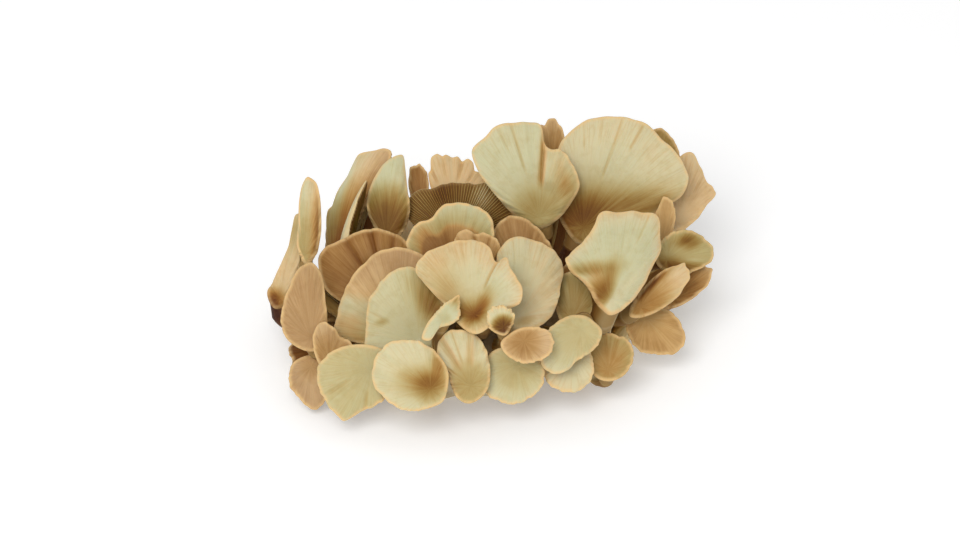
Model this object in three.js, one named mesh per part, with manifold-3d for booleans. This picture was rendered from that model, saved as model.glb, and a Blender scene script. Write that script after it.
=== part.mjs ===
// An oyster mushroom cluster: fan-shaped caps with gills and stems, all grown from one pad of tissue.
// Millimetres, +Z up. The origin is under the middle of the flat cut face that the cluster stands on.
import * as THREE from 'three';
import Module from 'manifold-3d';

const wasm = await Module();
wasm.setup();

// The pad of tissue that the stems rise from, cut flat underneath.
const pad = { halfLength: 57, halfWidth: 25, height: 24, sides: 40, flutes: 9, fluteDepth: 0.07, seed: 5 };
const padLevels = [0.97, 0.88, 0.7, 0.42]; // rings over its top, as shares of its plan
const rootDepth = 5; // how far below the pad's surface a stem is centred before it is cut to the pad
const rootLowest = 5; // least height of that centre over the cut face
const rootSplay = { x: 45, y: 28 }; // distances from the middle at which a root leans out by 45 degrees
const gap = 0.3; // clearance between a stem and the pad
const edgeThickness = 0.8;
const facing = [-0.23, -0.75, 0.62]; // the direction that most smooth faces look in
const stemLean = 50; // degrees between the top of a stem and the square to its cap
const stemBend = { top: 0.4, foot: 0.3 }; // how far the stem's curve is drawn out at each end, as shares
const stemTaper = 0.8; // least width of a stem over its width at the top
const neckReach = { widths: 1.5, most: 0.35 }; // where the gills end, down the stem
const gillFront = 110; // degrees from the tip, to each side, at which the gills die out
const topRings = [0.45, 0.8, 1]; // rings over a cap, as shares of the way to its edge
const underRings = [0, 0.45, 1]; // rings under it, as shares of the way back from its edge
const fineness = 1440; // steps that a cap's edge is first walked in
const unevenness = [[3, 0.030], [7, 0.022], [13, 0.012]]; // waves round the edge, and their sizes

// What each size of a mushroom is, in mm and as a share of its reach.
const sizes = {
  core: [2.2, 0.06], // thickness over the stem
  neck: [2.2, 0.06], // radius of the stem's top
  gillDepth: [0.7, 0.02],
  funnel: [0, 0.1], // rise of the top from the stem outwards
  curl: [0, 0.06], // roll of the edge down
  wave: [0, 0.035], // height of the folds
};

const tints = { cream: 0xcdc89a, tan: 0xd9b98c, pink: 0xc9a583, brown: 0x9c7f55, base: 0xe6dcc4 };
const roughness = { cap: 0.75, base: 0.9 };

// What every mushroom shares unless its own row says otherwise. A row may give its own edge instead: points
// along and across the cap from the top of the stem, in mm, in order from behind the stem.
const usual = {
  left: 12, // half widths of the fan, on the left and right of its middle line
  right: 12,
  widest: 0.5, // where along the reach the fan is widest
  blunt: 2.2, // exponent of the outline's outer half: 2 is an ellipse, more is squarer
  taper: 1.7, // exponent of the half near the stem: less than 2 runs in straight
  back: 5, // how far the cap goes on behind the stem
  cupAcross: 0, // rise of the top across the fan, in mm at 10 mm from its middle line
  waves: 4, // folds round the edge
  turn: 0, // how far the face is turned from the common direction, in degrees
  face: facing,
  gills: 12,
  tint: 'cream',
};

// Each row: name, top of the stem, tip of the cap, place of the root on the pad, and what is its own.
const mushrooms = [
  ['top_centre_fan', [29, 15, 53], [26, 44, 80], [20, 10],
    { gills: 22, edge: [[-4, 2], [-3, -6], [2, -14], [7, -19], [16, -19], [23, -16], [26, -11],
      [36, -11], [39, -4], [40, 5], [37, 12], [33, 18], [24, 18], [13, 14], [2, 8]] }],
  ['top_right_fan', [47, 13, 45], [74, 39, 75], [33, 8],
    { funnel: 8, gills: 24, edge: [[-6, -1], [0, -12], [11, -21], [21, -28], [28, -32], [35, -31],
      [41, -24], [45, -16], [48, -9], [48, -1], [46, 6], [43, 12], [37, 18], [29, 21], [21, 21],
      [13, 19], [5, 15], [-2, 7]] }],
  ['top_small_fan', [41, 35, 56], [46, 54, 70], [26, 18], { left: 6, right: 6, tint: 'tan' }],
  ['right_front_fan', [42, -38, 48], [65, -14, 62], [43, -11],
    { funnel: 3, neck: 5, gills: 20, edge: [[-5, -2], [0, -6], [6, -8], [14, -9], [22, -9], [29, -9],
      [35, -6], [41, -2], [39, 5], [35, 13], [31, 19], [25, 19], [18, 20], [12, 22], [7, 23], [4, 20],
      [2, 14], [0, 9], [-3, 4]] }],
  ['front_centre_fan', [-12.5, -30.5, 48.5], [-22, -3, 60.5], [-8, -8],
    { gills: 24, tint: 'tan', edge: [[-7, 4], [-8, -2], [-7, -7], [-7, -12], [-8, -17], [-4, -21],
      [4, -22], [11, -23], [12, -19], [19, -20], [25, -16], [28, -12], [30, -6], [31, 1], [30, 6],
      [28, 9], [23, 9], [15, 8], [9, 7], [0, 7]] }],
  ['front_right_fan', [7.5, -26.5, 39], [21.5, -1.5, 54.5], [8, -12],
    { gills: 18, edge: [[-6, 0], [-3, -7], [2, -12], [9, -14], [15, -14], [21, -14], [27, -12], [31, -7],
      [33, -1], [33, 6], [30, 10], [25, 13], [16, 12], [5, 9], [-3, 5]] }],
  ['front_left_fan', [-32, -21, 32], [-41, 3, 48], [-22, -12],
    { gills: 20, edge: [[-5, 1], [-5, -5], [-1, -12], [8, -16], [16, -17], [24, -14], [28, -10],
      [29, -4], [27, 3], [23, 10], [16, 15], [9, 19], [2, 15], [-2, 7]] }],
  ['front_low_fold', [-24.5, -31, 49], [-18.5, -26.5, 55], [-18, -17],
    { gills: 10, edge: [[-10, 1], [-4, 0], [-1, -3], [3, -5], [7, -3], [11, -1], [8, 1], [4, 3], [0, 4],
      [-5, 5], [-11, 4]] }],
  ['front_frill', [-3.5, -42, 48], [-3.5, -37.5, 55.5], [2, -15],
    { waves: 6, gills: 10, edge: [[-3, 0], [0, -3], [4, -5], [7, -3], [9, 0], [8, 4], [4, 6], [0, 5]] }],
  ['left_shingle', [-36, -11, 26], [-58, 7, 34], [-32, -8],
    { gills: 20, tint: 'tan', edge: [[-3, 2], [-6, -5], [-5, -15], [-2, -25], [5, -32], [12, -33],
      [19, -31], [25, -25], [28, -16], [29, -7], [28, 2], [25, 10], [18, 10], [8, 7]] }],
  ['left_shingle_behind', [-36, 4, 29], [-57, 27, 43], [-28, 2],
    { gills: 18, tint: 'tan', edge: [[-4, 1], [-3, -7], [0, -17], [8, -24], [16, -25], [24, -22],
      [30, -16], [34, -8], [37, -3], [36, 2], [31, 7], [25, 10], [19, 10], [8, 7]] }],
  ['left_end_fan', [-72, -5, 30], [-65, 15, 53], [-46, -2],
    { gills: 16, tint: 'pink', edge: [[-5, 0], [-2, -5], [7, -6], [17, -5], [26, -3], [30, 1], [28, 5],
      [23, 8], [15, 11], [6, 12], [-1, 9]] }],
  ['left_low_bud', [-67.5, -15.5, 25], [-65, -3.5, 35.5], [-52, -6],
    { gills: 12, tint: 'pink', edge: [[-4, 0], [-1, -5], [2, -9], [7, -9], [10, -5], [14, -2], [16, 2],
      [13, 5], [8, 6], [2, 5], [-2, 3]] }],
  ['left_tall_fold', [-66, 26, 47], [-57, 51, 68], [-40, 12],
    { neck: 3, edge: [[-3, -1], [0, -4], [8, -6], [17, -6], [25, -5], [30, -3], [32, 0], [29, 2],
      [23, 3], [14, 3], [4, 3]] }],
  ['left_outer_slab', [-77.5, 23.5, 30], [-63, 46, 51.5], [-46, 8],
    { gills: 10, edge: [[-4, 1], [-2, -3], [6, -5], [13, -6], [21, -6], [29, -5], [33, -3], [35, -1], [34, 1],
      [27, 1], [21, 1], [16, 2], [11, 3], [6, 4], [1, 5]] }],
  ['left_upper_plate', [-52, 38, 31], [-25, 64, 60], [-34, 16],
    { turn: 45, gills: 16, tint: 'tan', edge: [[-4, 0], [8, -3], [19, -6], [31, -9], [42, -12],
      [50, -10], [49, -1], [46, 7], [37, 9], [28, 11], [18, 13], [4, 8]] }],
  ['left_blade', [-54, 28, 37], [-34, 44, 61], [-38, 6], { left: 6, right: 6, turn: 80 }],
  ['upper_left_plate', [-31, 29, 47], [-19, 54, 66], [-20, 14],
    { gills: 14, edge: [[-4, -1], [2, -6], [11, -8], [20, -6], [28, -4], [34, -2], [32, 2], [27, 6],
      [19, 9], [10, 9], [3, 5]] }],
  ['upper_peach_fan', [-1, 37, 46], [4, 56, 61], [0, 18],
    { gills: 14, tint: 'tan', edge: [[-4, 0], [0, -7], [6, -12], [16, -11], [22, -8], [24, -4], [23, 0],
      [25, 4], [22, 8], [17, 9], [9, 8], [2, 5]] }],
  ['upper_gilled_fan', [-3, 24, 41], [6, 39, 58], [2, 12],
    { left: 23, right: 23, widest: 0.4, blunt: 1.7, taper: 1.4, face: [0.23, 0.75, -0.62], gills: 18,
      tint: 'brown' }],
  ['upper_brown_bud', [-13, 41.5, 48.5], [-10, 56, 58.5], [-15, 20],
    { left: 4, right: 4, gills: 10, tint: 'brown' }],
  ['middle_half_moon', [-10, 3, 43], [-6, 24, 60], [-8, 6],
    { gills: 18, edge: [[-4, 0], [-1, -8], [8, -15], [16, -17], [23, -15], [26, -11], [28, -5], [28, 1],
      [25, 5], [22, 8], [21, 13], [17, 17], [11, 18], [5, 14], [-1, 7]] }],
  ['middle_right_fan', [16, -5, 38], [14, 18, 54], [12, 0],
    { gills: 14, tint: 'pink', edge: [[-4, 0], [-2, -7], [4, -14], [11, -15], [18, -13], [24, -9],
      [27, -2], [25, 3], [18, 7], [8, 7], [1, 4]] }],
  ['middle_crinkle', [-3.5, -10, 45.5], [0, 6.5, 59], [-0.5, -4],
    { waves: 9, wave: 1.2, gills: 14, tint: 'tan', edge: [[-4, -1], [1, -5], [8, -7], [14, -9], [18, -7],
      [20, -4], [21, 1], [22, 4], [21, 7], [17, 9], [10, 8], [0, 4]] }],
  ['middle_dark_fan', [41, -8, 28], [43, 6, 37], [26, -2], { left: 8, right: 8, tint: 'brown' }],
  ['right_upper_fan', [86, 10, 40], [98, 33, 58], [46, 8],
    { gills: 14, tint: 'tan', edge: [[-3, 2], [-1, -3], [4, -8], [10, -11], [15, -14], [20, -10],
      [26, -6], [31, -2], [30, 1], [25, 5], [17, 7], [7, 8]] }],
  ['right_rear_fan', [82, 29, 51], [91, 43, 64], [44, 15],
    { gills: 12, edge: [[-3, -2], [1, -7], [7, -10], [13, -8], [17, -5], [20, -1], [20, 3], [17, 6],
      [10, 6], [2, 4]] }],
  ['right_rolled_fan', [73.5, -14.5, 43.5], [92, -16, 41.5], [50, -5],
    { gills: 12, tint: 'brown', edge: [[-4, -1], [0, -5], [7, -6], [14, -4], [19, -1], [19, 4], [14, 9],
      [10, 11], [4, 11], [-1, 8], [-4, 4]] }],
  ['right_curled_blade', [75.5, -3.5, 45], [80.5, 6.5, 57], [42, 5], { left: 4, right: 4, gills: 10 }],
  ['right_end_wedge', [56.5, -31.5, 36], [78, -22.5, 44.5], [44, -3], { left: 5, right: 7, tint: 'tan' }],
  ['right_low_fan', [73, -22, 29], [91, -14, 35.6], [56, -4], { left: 8, right: 6, tint: 'tan' }],
  ['right_low_shade', [61.5, -25, 24.5], [68, -36.5, 13], [52, -13],
    { gills: 12, tint: 'tan', edge: [[-3, 3], [-5, -3], [-2, -8], [4, -10], [10, -9], [15, -4], [18, 1],
      [17, 7], [12, 10], [5, 10], [0, 7]] }],
  ['right_low_end', [71, 6, 14.5], [95, 14, 16.5], [56, 3],
    { left: 12, right: 13, face: [0.3, -0.3, 1], tint: 'brown' }],
  ['lower_left_pink', [-72.5, -6, 16.5], [-74.5, -18, 4.5], [-32, -15],
    { gills: 12, tint: 'pink', edge: [[-4, 2], [-4, -3], [-2, -7], [2, -9], [7, -9], [12, -6], [16, -3],
      [17, 1], [14, 4], [9, 6], [2, 6]] }],
  ['lower_left_fan', [-54, -28.5, 29.5], [-67.5, -34, 11], [-38, -18],
    { gills: 18, edge: [[-8, 3], [-7, -5], [-2, -13], [4, -17], [11, -18], [16, -15], [20, -10],
      [23, -4], [24, 1], [18, 5], [12, 9], [6, 11], [-1, 10], [-5, 7]] }],
  ['lower_front_fan', [-35, -46.5, 28], [-52, -35.5, 32], [-30, -20],
    { gills: 18, edge: [[-6, 3], [-6, -3], [-4, -9], [2, -14], [9, -16], [15, -15], [21, -12], [24, -6],
      [24, 0], [21, 6], [16, 9], [10, 11], [3, 10], [-2, 7]] }],
  ['lower_front_crinkle', [-18.5, -46, 25], [-20.5, -30.5, 41.5], [-8, -20],
    { waves: 7, gills: 16, edge: [[-6, -1], [-3, -6], [3, -9], [10, -10], [16, -9], [21, -5], [23, 0],
      [22, 5], [18, 8], [13, 9], [8, 7], [2, 7], [-3, 6], [-6, 3]] }],
  ['lower_middle_fan', [2, -42.5, 28.5], [-2, -49.5, 15], [2, -23],
    { gills: 16, edge: [[-5, 0], [-6, -6], [-3, -11], [3, -13], [8, -14], [13, -11], [15, -6], [16, 0],
      [14, 5], [10, 9], [5, 11], [-1, 10], [-4, 6]] }],
  ['lower_middle_tan', [3.5, -46, 42.5], [12, -52, 40], [8, -20],
    { gills: 12, tint: 'brown', edge: [[-6, 1], [-8, -4], [-5, -7], [2, -8], [8, -5], [11, -1], [11, 4],
      [8, 7], [3, 7], [-2, 5]] }],
  ['lower_right_fan', [27.5, -44.5, 42], [13, -50.5, 27.5], [14, -20],
    { gills: 18, edge: [[-5, -1], [-2, -6], [3, -9], [8, -10], [14, -9], [19, -6], [21, -2], [20, 2],
      [16, 5], [11, 6], [6, 8], [1, 9], [-4, 7], [-5, 3]] }],
  ['lower_right_yellow', [25, -42.5, 28.5], [20, -51, 17], [24, -21],
    { gills: 14, edge: [[-5, 1], [-2, -5], [3, -9], [9, -10], [13, -8], [15, -3], [15, 3], [12, 7],
      [7, 9], [1, 8], [-3, 5]] }],
  ['lower_right_shade', [38.5, -47, 20], [41.5, -36, 29.5], [29.5, -21.5],
    { gills: 12, tint: 'brown', edge: [[-4, -1], [-2, -6], [2, -9], [7, -10], [12, -8], [14, -3],
      [15, 3], [12, 7], [7, 9], [2, 8], [-3, 4]] }],
  ['lower_right_olive', [30, -26, 32], [35, -11.5, 42], [21, -14],
    { gills: 12, tint: 'brown', edge: [[-5, 0], [-3, -4], [3, -8], [9, -9], [16, -6], [19, -1], [19, 3],
      [14, 6], [8, 7], [0, 5]] }],
  ['left_low_end', [-60, 10.5, 8.5], [-76, 14.5, 6.5], [-50, -1.5],
    { left: 11, right: 11, face: [-0.2, -0.1, 1], tint: 'tan' }],
  ['back_left_low', [-54, 28, 15], [-70, 42, 18], [-49, 13],
    { left: 13, right: 13, face: [-0.1, 0.1, 1], gills: 14 }],
  ['left_rear_shade', [-36.5, 40, 23], [-34.5, 61, 39.5], [-27, 20],
    { left: 11, right: 10, gills: 14, tint: 'brown' }],
  ['back_middle_low', [-12, 40, 22], [-14, 60, 28], [-8, 24],
    { left: 14, right: 13, face: [0, 0.1, 1], gills: 16, tint: 'tan' }],
  ['centre_rear_shade', [39.5, 24.5, 16], [44.5, 45, 31.5], [31, 12],
    { left: 9, right: 8, gills: 14, tint: 'brown' }],
  ['back_right_low', [20, 40, 26], [24, 60, 33], [14, 24],
    { left: 13, right: 13, face: [0, 0.1, 1], gills: 16 }],
  ['back_right_end', [56.5, 33.5, 25], [68.5, 51.5, 31], [39, 22],
    { left: 12, right: 12, face: [0.1, 0.1, 1], gills: 14, tint: 'pink' }],
];

const tau = 2 * Math.PI;
const { lerp, clamp, smoothstep, degToRad } = THREE.MathUtils;

// A draw between 0 and 1 that depends only on its seed and number.
function draw(seed, k) {
  const x = Math.sin(seed * 12.9898 + k * 78.233) * 43758.5453;
  return x - Math.floor(x);
}

// Height of the pad's top above its cut face, and its fluted plan.
function padFlute(angle) {
  return 1 + pad.fluteDepth * Math.sin(pad.flutes * angle + tau * draw(pad.seed, 1))
    + 0.5 * pad.fluteDepth * Math.sin((pad.flutes + 4) * angle + tau * draw(pad.seed, 2));
}

function padTop(x, y) {
  const share = Math.hypot(x / pad.halfLength, y / pad.halfWidth) / padFlute(Math.atan2(y, x));
  return pad.height * Math.max(1 - share * share, 0) ** 0.4;
}

// A closed mesh from two poles and the rings between them, the first ring next to the first pole.
// Ring sizes are equal, or one is a whole number of times the other.
function shell(firstPole, rings, lastPole) {
  const points = [firstPole, ...rings.flat(), lastPole];
  const starts = [];
  let next = 1;
  for (const ring of rings) {
    starts.push(next);
    next += ring.length;
  }
  const faces = [];
  const first = rings[0].length;
  for (let k = 0; k < first; k++) faces.push(0, 1 + k, 1 + (k + 1) % first);
  for (let r = 0; r + 1 < rings.length; r++) {
    const [m, n] = [rings[r].length, rings[r + 1].length];
    const steps = Math.max(m, n);
    for (let k = 0; k < steps; k++) {
      // Walk round both rings together; the coarser one waits for the middle of each group.
      const half = Math.floor(steps / Math.min(m, n) / 2);
      const at = (count, i) => (
        count === steps ? i % count : Math.floor((i + half) / (steps / count)) % count
      );
      const [a, b] = [starts[r] + at(m, k), starts[r] + at(m, k + 1)];
      const [c, d] = [starts[r + 1] + at(n, k), starts[r + 1] + at(n, k + 1)];
      if (c !== d) faces.push(a, c, d);
      if (a !== b) faces.push(a, d, b);
    }
  }
  const last = rings[rings.length - 1].length;
  const lastStart = starts[starts.length - 1];
  for (let k = 0; k < last; k++) faces.push(lastStart + k, points.length - 1, lastStart + (k + 1) % last);
  return new wasm.Manifold(new wasm.Mesh({
    numProp: 3,
    vertProperties: new Float32Array(points.flatMap((p) => p.toArray())),
    triVerts: new Uint32Array(faces),
  }));
}

// The pad as a solid, made larger all round by extra.
function padSolid(extra) {
  const ring = (share, height) => Array.from({ length: pad.sides }, (_, k) => {
    const angle = tau * k / pad.sides;
    const [along, out] = [pad.halfLength * Math.cos(angle), pad.halfWidth * Math.sin(angle)];
    const scale = share * padFlute(Math.atan2(out, along));
    const x = along * scale;
    const y = out * scale;
    const z = height ?? padTop(x, y) + extra;
    return new THREE.Vector3(x + extra * Math.cos(angle), y + extra * Math.sin(angle), z);
  });
  const top = new THREE.Vector3(0, 0, pad.height + extra);
  const rings = [...padLevels].reverse().map((share) => ring(share));
  rings.push(ring(1, 4 + extra), ring(0.97, 0));
  return shell(top, rings, new THREE.Vector3(0, 0, 0));
}

// A closed curve round the fan, seen square to its face: smooth through the row's own points or, without
// them, two half superellipses that meet where the fan is widest, made uneven by three sine waves.
function edgeCurve(cap) {
  if (cap.edge) {
    const through = cap.edge.map(([x, y]) => new THREE.Vector3(x, y, 0));
    return new THREE.CatmullRomCurve3(through, true).getPoints(fineness).map(({ x, y }) => [x, y]);
  }
  const middle = cap.widest * cap.reach;
  return Array.from({ length: fineness + 1 }, (_, k) => {
    const t = tau * (k / fineness - 0.5);
    const [c, s] = [Math.cos(t), Math.sin(t)];
    const power = 2 / (c >= 0 ? cap.blunt : cap.taper);
    const half = c >= 0 ? cap.reach - middle : middle + cap.back;
    const x = middle + Math.sign(c) * half * Math.abs(c) ** power;
    const y = (s >= 0 ? cap.left : cap.right) * Math.sign(s) * Math.abs(s) ** power;
    const uneven = unevenness.reduce(
      (sum, [count, size], i) => sum + size * Math.sin(count * t + tau * draw(cap.seed, i + 1)), 0,
    );
    const scale = 1 + (0.5 + 0.5 * c) * uneven;
    return [x * scale, y * scale];
  });
}

// Points evenly spaced along the fan's edge, starting behind the stem, closer where the edge turns sharply.
function capEdge(cap, count) {
  const edge = edgeCurve(cap);
  const walked = [0];
  for (let k = 1; k <= fineness; k++) {
    const [p, q] = [edge[k - 1], edge[k]];
    const swept = Math.abs(Math.atan2(p[0] * q[1] - p[1] * q[0], p[0] * q[0] + p[1] * q[1]));
    walked.push(walked[k - 1] + Math.hypot(q[0] - p[0], q[1] - p[1]) + 0.15 * cap.reach * swept);
  }
  const points = [];
  let k = 0;
  for (let i = 0; i < count; i++) {
    const want = walked[fineness] * i / count;
    while (walked[k + 1] < want) k += 1;
    const share = (want - walked[k]) / (walked[k + 1] - walked[k]);
    const x = lerp(edge[k][0], edge[k + 1][0], share);
    const y = lerp(edge[k][1], edge[k + 1][1], share);
    points.push({ x, y, angle: Math.atan2(y, x), radius: Math.hypot(x, y) });
  }
  return points;
}

// Height of the smooth top: a funnel rising from the stem, a cup across, an edge rolled down, and waves.
function capTop(cap, point, share) {
  const [x, y] = [point.x * share, point.y * share];
  const front = clamp(1 - (Math.abs(point.angle) / degToRad(115)) ** 4, 0, 1);
  const wave = Math.sin(cap.waves * point.angle + tau * draw(cap.seed, 4))
    + 0.5 * share * Math.sin((2 * cap.waves + 1) * point.angle + tau * draw(cap.seed, 5));
  return cap.funnel * (1 - Math.exp(-((Math.hypot(x, y) / (0.45 * cap.reach)) ** 2)))
    + cap.cupAcross * (y / 10) ** 2 - cap.curl * share ** 5 + front * cap.wave * share * share * wave;
}

// One mushroom as a single solid: smooth top, thin edge, gills that run down to the stem, and the stem.
function mushroomSolid(top, tip, root, own, seed) {
  const apex = new THREE.Vector3(...top);
  const along = new THREE.Vector3(...tip).sub(apex);
  const reach = along.length();
  along.normalize();
  const sized = Object.fromEntries(
    Object.entries(sizes).map(([name, [least, share]]) => [name, least + share * reach]),
  );
  const cap = { ...usual, seed, reach, ...sized, ...own };
  const face = new THREE.Vector3(...cap.face).normalize();
  face.addScaledVector(along, -face.dot(along)).normalize();
  const turned = degToRad(cap.turn);
  const sideways = face.clone().cross(along);
  face.multiplyScalar(Math.cos(turned)).addScaledVector(sideways, Math.sin(turned));
  const across = face.clone().cross(along);
  const place = (x, y, z) => apex.clone().addScaledVector(along, x).addScaledVector(across, y)
    .addScaledVector(face, z);

  // The stem: a curve from under the cap to its root, straight out of the pad.
  const foot = new THREE.Vector3(root[0], root[1], Math.max(padTop(...root) - rootDepth, rootLowest));
  const rise = new THREE.Vector3(root[0] / rootSplay.x, root[1] / rootSplay.y, 1).normalize();
  const start = apex.clone().addScaledVector(face, -0.75 * cap.neck);
  const length = start.distanceTo(foot);
  const lean = degToRad(stemLean);
  const leave = place(-Math.sin(lean), 0, -Math.cos(lean)).sub(apex);
  const stem = new THREE.CubicBezierCurve3(
    start, start.clone().addScaledVector(leave, stemBend.top * length),
    foot.clone().addScaledVector(rise, stemBend.foot * length), foot,
  );
  const neckShare = Math.min(neckReach.most, neckReach.widths * cap.neck / length);
  const stemRing = (share, points) => {
    const centre = stem.getPoint(share);
    const tangent = stem.getTangent(share);
    const side = across.clone().addScaledVector(tangent, -across.dot(tangent)).normalize();
    const front = tangent.clone().cross(side);
    const taper = lerp(1, stemTaper, smoothstep(share, 0, 0.7));
    const radius = cap.neck * (taper + 0.1 * smoothstep(share, 0.75, 1));
    return points.map(({ angle }) => centre.clone()
      .addScaledVector(front, radius * Math.cos(angle)).addScaledVector(side, radius * Math.sin(angle)));
  };

  const edge = capEdge(cap, 2 * cap.gills);
  const every = (n) => edge.filter((_, k) => k % n === 0);
  const topRing = (share) => every(2).map((p) => place(p.x * share, p.y * share, capTop(cap, p, share)));
  // Under the cap, inwards 0 is the edge and 1 the stem; every other line is the crest of a gill.
  const neckRing = stemRing(neckShare, edge);
  const underRing = (inwards) => edge.map((p, k) => {
    const share = 1 - inwards * (1 - clamp(0.9 * cap.neck / p.radius, 0.05, 0.9));
    const thick = edgeThickness + (cap.core - edgeThickness) * (1 - share * share) ** 0.8;
    const front = clamp(1 - (Math.abs(p.angle) / degToRad(gillFront)) ** 6, 0, 1);
    const fade = (0.35 + 0.65 * smoothstep(inwards, 0, 0.25)) * (1 - smoothstep(inwards, 0.7, 1));
    const gill = k % 2 === 0 ? cap.gillDepth * fade * front : 0;
    const point = place(p.x * share, p.y * share, capTop(cap, p, share) - thick - gill);
    const behind = smoothstep(Math.abs(p.angle) / Math.PI, 0.55, 1);
    const blendStart = 0.5 * (1 - behind);
    return point.lerp(neckRing[k], smoothstep(inwards, blendStart, 1));
  });
  const under = underRings.map(underRing);
  under.push(under.pop().filter((_, k) => k % 2 === 0));
  const rings = [
    ...topRings.map(topRing), ...under, stemRing(lerp(neckShare, 1, 0.5), every(4)), stemRing(1, every(4)),
  ];
  const middle = capTop(cap, edge[0], 0);
  return shell(place(0, 0, middle), rings, foot);
}

// Turns a solid back into a three.js mesh with flat facets.
function toMesh(name, solid, color, rough) {
  const { vertProperties, triVerts } = solid.getMesh();
  const geometry = new THREE.BufferGeometry();
  geometry.setAttribute('position', new THREE.BufferAttribute(vertProperties, 3));
  geometry.setIndex(new THREE.BufferAttribute(triVerts, 1));
  geometry.computeVertexNormals();
  const material = new THREE.MeshStandardMaterial({
    color, roughness: rough, metalness: 0, flatShading: true,
  });
  const mesh = new THREE.Mesh(geometry, material);
  mesh.name = name;
  return mesh;
}

const cluster = new THREE.Group();
cluster.name = 'oyster_mushroom_cluster';
cluster.add(toMesh('base', padSolid(0), tints.base, roughness.base));
const padClearance = padSolid(gap);
mushrooms.forEach(([name, top, tip, root, own], k) => {
  const grown = mushroomSolid(top, tip, root, own, k + 1).subtract(padClearance);
  const whole = grown.decompose().reduce((a, b) => (b.volume() > a.volume() ? b : a));
  cluster.add(toMesh(name, whole, tints[own.tint ?? usual.tint], roughness.cap));
});

export default cluster;
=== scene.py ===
import math
import time

import bpy
import numpy as np
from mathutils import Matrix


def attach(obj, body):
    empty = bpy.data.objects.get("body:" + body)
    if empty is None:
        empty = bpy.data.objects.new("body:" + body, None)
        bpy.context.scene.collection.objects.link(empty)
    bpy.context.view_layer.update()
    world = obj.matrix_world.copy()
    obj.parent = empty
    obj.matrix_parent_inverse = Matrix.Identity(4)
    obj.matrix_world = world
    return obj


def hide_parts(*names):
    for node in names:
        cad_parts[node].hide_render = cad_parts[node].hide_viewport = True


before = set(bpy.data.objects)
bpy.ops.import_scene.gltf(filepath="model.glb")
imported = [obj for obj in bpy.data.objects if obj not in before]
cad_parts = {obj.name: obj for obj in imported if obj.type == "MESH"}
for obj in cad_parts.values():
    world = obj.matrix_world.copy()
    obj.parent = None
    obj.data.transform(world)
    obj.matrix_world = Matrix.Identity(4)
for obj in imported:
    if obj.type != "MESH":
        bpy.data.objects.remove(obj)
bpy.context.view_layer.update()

started = time.time()
mm = 0.001
tau = 2 * math.pi


def report(stage):
    print(f"[{time.time() - started:6.1f} s] {stage}")


def draw(seed, k):  # a draw between 0 and 1 that depends only on its seed and number
    x = np.sin(seed * 12.9898 + np.asarray(k, dtype=float) * 78.233) * 43758.5453
    return x - np.floor(x)


def smooth(x, low=0.0, high=1.0):  # 0 below low, 1 above high, eased between
    t = np.clip((x - low) / (high - low), 0, 1)
    return t * t * (3 - 2 * t)


def unit(v):
    return v / np.linalg.norm(v, axis=-1, keepdims=True)


def mixed(a, b, share):
    return a + (b - a) * share


def hill(x, width):  # a bell of height 1 and the given half width
    return np.exp(-(x / width) ** 2)


def screen(red, green, blue):  # a colour as a screen shows it, from 0 to 255, made linear
    c = np.array([red, green, blue]) / 255
    return tuple(float(v) for v in np.where(c <= 0.04045, c / 12.92, ((c + 0.055) / 1.055) ** 2.4))


def inScene(name, data):
    thing = bpy.data.objects.new(name, data)
    bpy.context.scene.collection.objects.link(thing)
    return thing


def steps(count):  # shares of the way, the last one 1
    return np.arange(1, count + 1) / count


def ringFaces(start, count, nextStart, nextCount):
    # Triangles between two closed rings, the second one with as many points, or a whole number of times more or fewer.
    # Each point of the coarser ring faces its group in the finer one. A ring of one point is a pole.
    k = np.arange(max(count, nextCount))
    def pick(ring, n):
        if n == len(k):
            return ring + k, ring + (k + 1) % n
        group = len(k) // n
        return ring + (k + group // 2) // group % n, ring + (k + 1 + group // 2) // group % n
    a, b = pick(start, count)
    c, d = pick(nextStart, nextCount)
    faces = np.concatenate((np.stack((a, c, d), 1), np.stack((a, d, b), 1)))
    flat = (faces[:, 0] == faces[:, 1]) | (faces[:, 1] == faces[:, 2]) | (faces[:, 0] == faces[:, 2])
    return faces[~flat]


class Skin:  # a closed surface laid down ring by ring, from one pole to the other, with marks on its points
    marks = ("tone", "brown", "rim", "streak", "under", "crest", "stalk", "cut")

    def __init__(self):
        self.points, self.flows, self.counts = [], [], []
        self.values = {mark: [] for mark in self.marks}

    def lay(self, points, flow=0.0, **values):  # points has one row for each ring; a value may be one for all
        rings, count = points.shape[:2]
        self.points.append(points.reshape(-1, 3))
        self.flows.append(np.broadcast_to(flow, points.shape).reshape(-1, 3))
        self.counts += [count] * rings
        for mark in self.marks:
            self.values[mark].append(np.broadcast_to(values.get(mark, 0.0), (rings, count)).ravel())

    def close(self, name):
        starts = np.concatenate(([0], np.cumsum(self.counts)))
        faces = np.concatenate([ringFaces(starts[i], self.counts[i], starts[i + 1], self.counts[i + 1])
                                for i in range(len(self.counts) - 1)])
        points = np.concatenate(self.points) * mm
        mesh = bpy.data.meshes.new(name)
        mesh.vertices.add(len(points))
        mesh.vertices.foreach_set("co", points.ravel())
        mesh.loops.add(faces.size)
        mesh.loops.foreach_set("vertex_index", faces.ravel().astype(np.int32))
        mesh.polygons.add(len(faces))
        mesh.polygons.foreach_set("loop_start", np.arange(len(faces), dtype=np.int32) * 3)
        mesh.polygons.foreach_set("use_smooth", np.ones(len(faces), dtype=bool))
        mesh.update(calc_edges=True)
        layer = mesh.attributes.new("flow", "FLOAT_VECTOR", "POINT")
        layer.data.foreach_set("vector", np.concatenate(self.flows).ravel().astype(np.float32))
        for mark, blocks in self.values.items():
            layer = mesh.attributes.new(mark, "FLOAT", "POINT")
            layer.data.foreach_set("value", np.concatenate(blocks).astype(np.float32))
        return inScene(name, mesh)


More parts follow.
